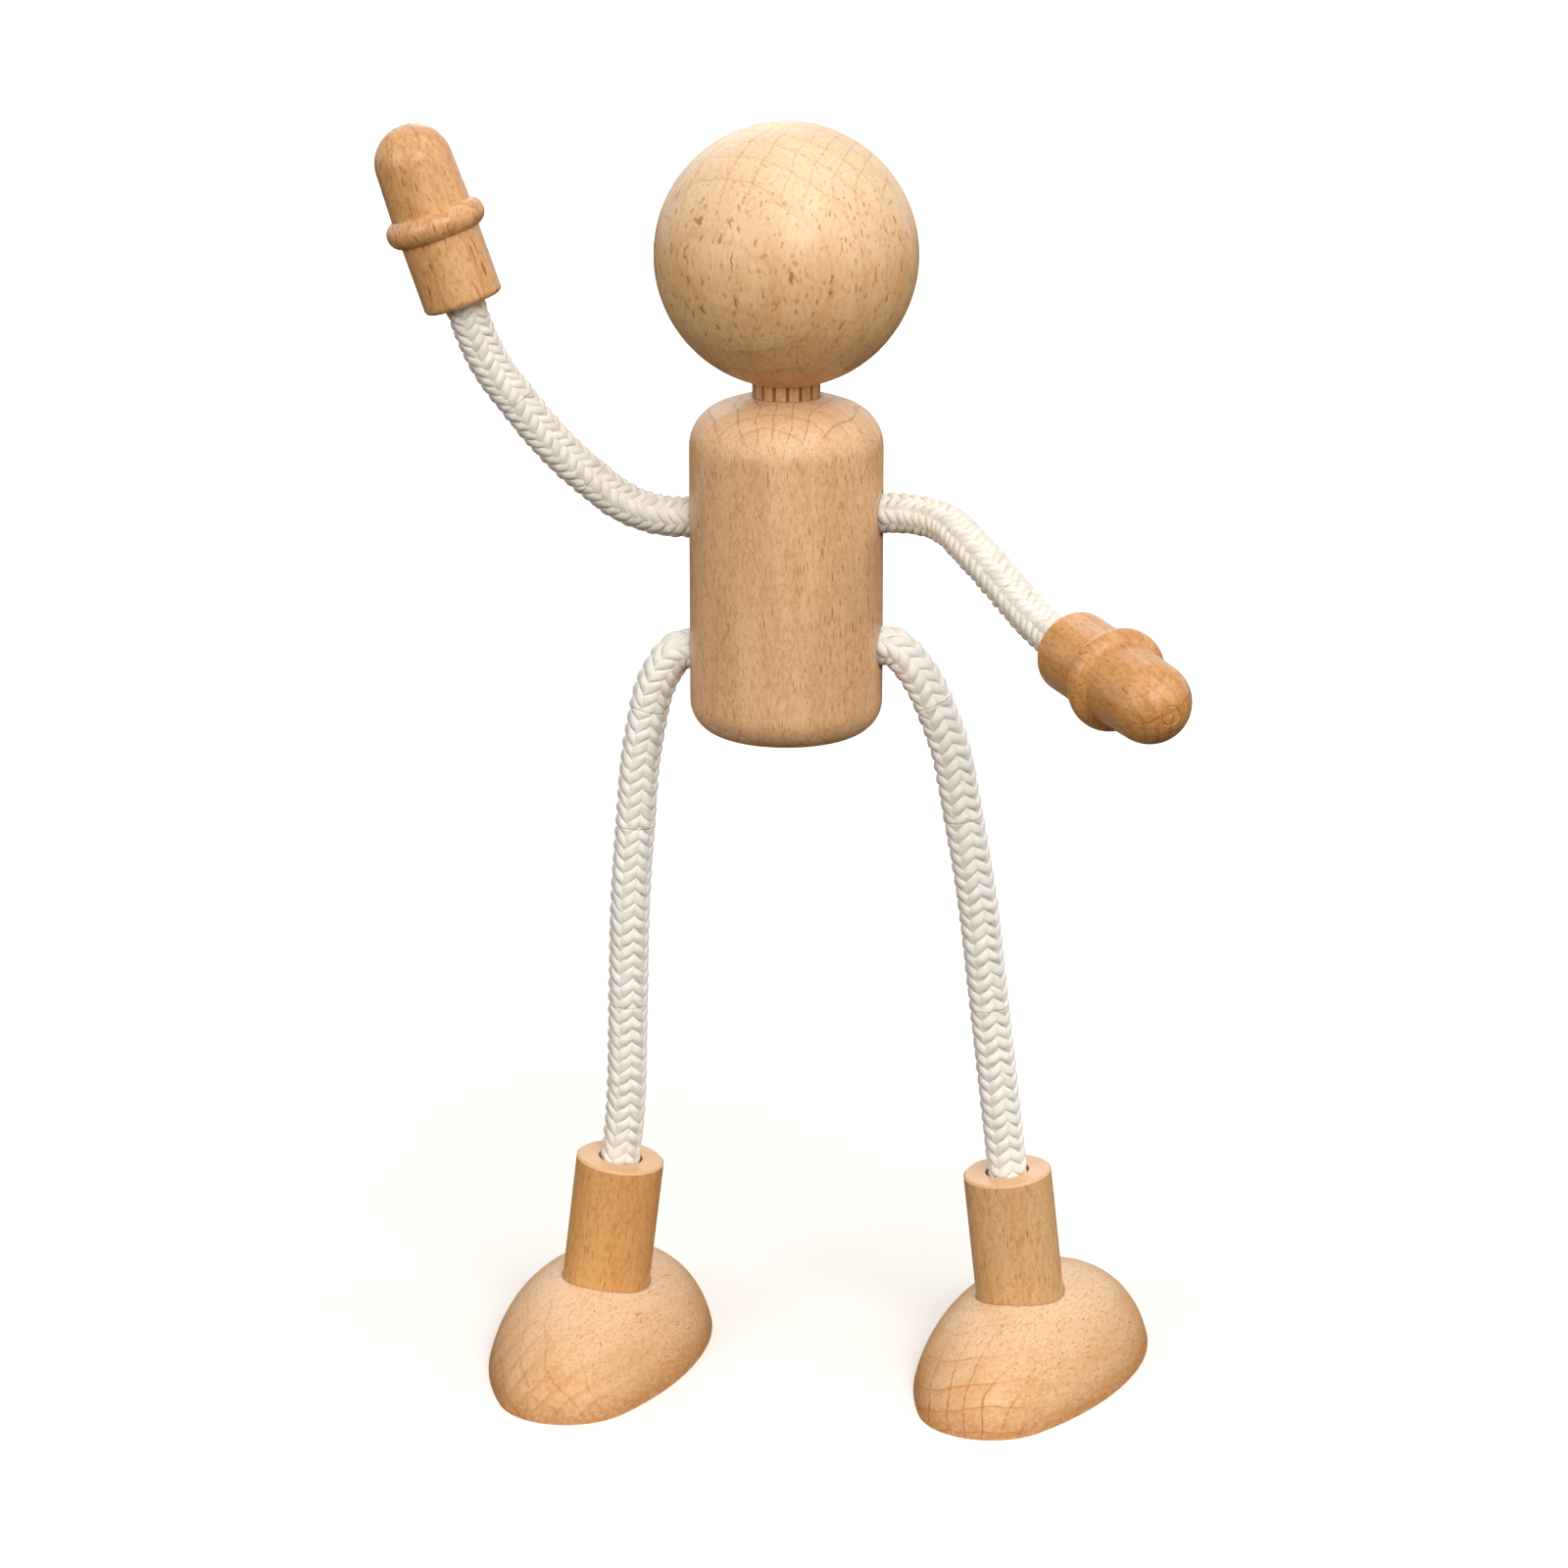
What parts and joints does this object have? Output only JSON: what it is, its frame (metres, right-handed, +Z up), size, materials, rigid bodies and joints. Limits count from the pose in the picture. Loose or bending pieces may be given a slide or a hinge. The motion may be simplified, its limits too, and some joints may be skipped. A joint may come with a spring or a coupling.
{
  "type": "articulated wooden figure",
  "caption": "Wooden articulated figure with a plain ball head, fluted neck, turned body, braided rope limbs, turned hands and half-egg feet.",
  "frame": {"origin": "on the floor, under the middle of the whole figure's box in its standing pose", "axes": "+Z up along the body, +Y towards the back of the figure, +X towards the figure's own left"},
  "size_m": [0.1585, 0.1173, 0.2485],
  "materials": {
    "head_wood": "satin turned beech",
    "neck_wood": "satin fluted beech",
    "body_wood": "satin turned beech",
    "hand_wood": "satin turned beech",
    "ankle_wood": "satin beech dowel",
    "foot_wood": "satin turned beech",
    "rope": "matt braided cotton"
  },
  "bodies": {
    "torso": {"head": "head_wood", "neck": "neck_wood", "body": "body_wood", "arm_rope_core": "rope", "leg_rope_core": "rope", "arm_right_shoulder_bend": "rope", "arm_left_shoulder_bend": "rope", "leg_right_exit": "rope", "leg_right_hip_bend": "rope", "leg_left_exit": "rope", "leg_left_hip_bend": "rope"},
    "right_upper_arm": {"arm_right_upper": "rope", "arm_right_elbow_bend": "rope"},
    "right_forearm": {"arm_right_fore": "rope", "arm_right_wrist_bend": "rope"},
    "right_hand": {"arm_right_end": "rope", "hand_right": "hand_wood"},
    "left_upper_arm": {"arm_left_upper": "rope", "arm_left_elbow_bend": "rope"},
    "left_forearm": {"arm_left_fore": "rope", "arm_left_wrist_bend": "rope"},
    "left_hand": {"arm_left_end": "rope", "hand_left": "hand_wood"},
    "right_hip": {"leg_right_hip": "rope", "leg_right_thigh_bend": "rope"},
    "right_thigh": {"leg_right_thigh": "rope", "leg_right_knee_bend": "rope"},
    "right_shin": {"leg_right_shin": "rope", "leg_right_ankle_bend": "rope"},
    "right_foot": {"leg_right_end": "rope", "ankle_right": "ankle_wood", "foot_right": "foot_wood"},
    "left_hip": {"leg_left_hip": "rope", "leg_left_thigh_bend": "rope"},
    "left_thigh": {"leg_left_thigh": "rope", "leg_left_knee_bend": "rope"},
    "left_shin": {"leg_left_shin": "rope", "leg_left_ankle_bend": "rope"},
    "left_foot": {"leg_left_end": "rope", "ankle_left": "ankle_wood", "foot_left": "foot_wood"}
  },
  "joints": [
    {"name": "right_shoulder", "type": "hinge", "parent": "torso", "child": "right_upper_arm", "pos_m": [-0.02945, 0.0147, 0.17221], "axis": [0, 1, 0], "range_deg": [-100, 30], "deforming": ["arm_right_shoulder_bend"]},
    {"name": "right_elbow", "type": "hinge", "parent": "right_upper_arm", "child": "right_forearm", "pos_m": [-0.04599, 0.0147, 0.1858], "axis": [0.7151, 0, 0.699], "range_deg": [-40, 80], "deforming": ["arm_right_elbow_bend"]},
    {"name": "right_wrist", "type": "hinge", "parent": "right_forearm", "child": "right_hand", "pos_m": [-0.05901, 0.0147, 0.2024], "axis": [0, 1, 0], "range_deg": [-75, 40], "deforming": ["arm_right_wrist_bend"]},
    {"name": "left_shoulder", "type": "hinge", "parent": "torso", "child": "left_upper_arm", "pos_m": [0.02775, 0.0147, 0.17481], "axis": [0.0436, 0.2756, -0.9603], "range_deg": [-110, 25], "deforming": ["arm_left_shoulder_bend"]},
    {"name": "left_elbow", "type": "hinge", "parent": "left_upper_arm", "child": "left_forearm", "pos_m": [0.03828, -0.00391, 0.16995], "axis": [-0.7827, -0.3002, -0.5453], "range_deg": [-40, 80], "deforming": ["arm_left_elbow_bend"]},
    {"name": "left_wrist", "type": "hinge", "parent": "left_forearm", "child": "left_hand", "pos_m": [0.05033, -0.01861, 0.16073], "axis": [0.8205, 0.5052, 0.2675], "range_deg": [-40, 75], "deforming": ["arm_left_wrist_bend"]},
    {"name": "right_hip", "type": "hinge", "parent": "torso", "child": "right_hip", "pos_m": [-0.02643, 0.01477, 0.14097], "axis": [0, 1, 0], "range_deg": [-5, 60], "deforming": ["leg_right_hip_bend"]},
    {"name": "right_thigh", "type": "hinge", "parent": "right_hip", "child": "right_thigh", "pos_m": [-0.02957, 0.01494, 0.12621], "axis": [-1, 0, 0], "range_deg": [-45, 90], "deforming": ["leg_right_thigh_bend"]},
    {"name": "right_knee", "type": "hinge", "parent": "right_thigh", "child": "right_shin", "pos_m": [-0.032, 0.01532, 0.0953], "axis": [1, 0, 0], "range_deg": [-20, 105], "deforming": ["leg_right_knee_bend"]},
    {"name": "right_ankle", "type": "hinge", "parent": "right_shin", "child": "right_foot", "pos_m": [-0.03312, 0.01584, 0.05247], "axis": [-1, 0, 0], "range_deg": [-35, 35], "deforming": ["leg_right_ankle_bend"]},
    {"name": "left_hip", "type": "hinge", "parent": "torso", "child": "left_hip", "pos_m": [0.02471, 0.01484, 0.14342], "axis": [0, -1, 0], "range_deg": [-5, 60], "deforming": ["leg_left_hip_bend"]},
    {"name": "left_thigh", "type": "hinge", "parent": "left_hip", "child": "left_thigh", "pos_m": [0.03061, 0.01521, 0.12954], "axis": [-1, 0, 0], "range_deg": [-45, 90], "deforming": ["leg_left_thigh_bend"]},
    {"name": "left_knee", "type": "hinge", "parent": "left_thigh", "child": "left_shin", "pos_m": [0.03599, 0.01602, 0.09898], "axis": [1, 0, 0], "range_deg": [-20, 105], "deforming": ["leg_left_knee_bend"]},
    {"name": "left_ankle", "type": "hinge", "parent": "left_shin", "child": "left_foot", "pos_m": [0.04129, 0.01724, 0.05252], "axis": [-1, 0, 0], "range_deg": [-35, 35], "deforming": ["leg_left_ankle_bend"]}
  ]
}
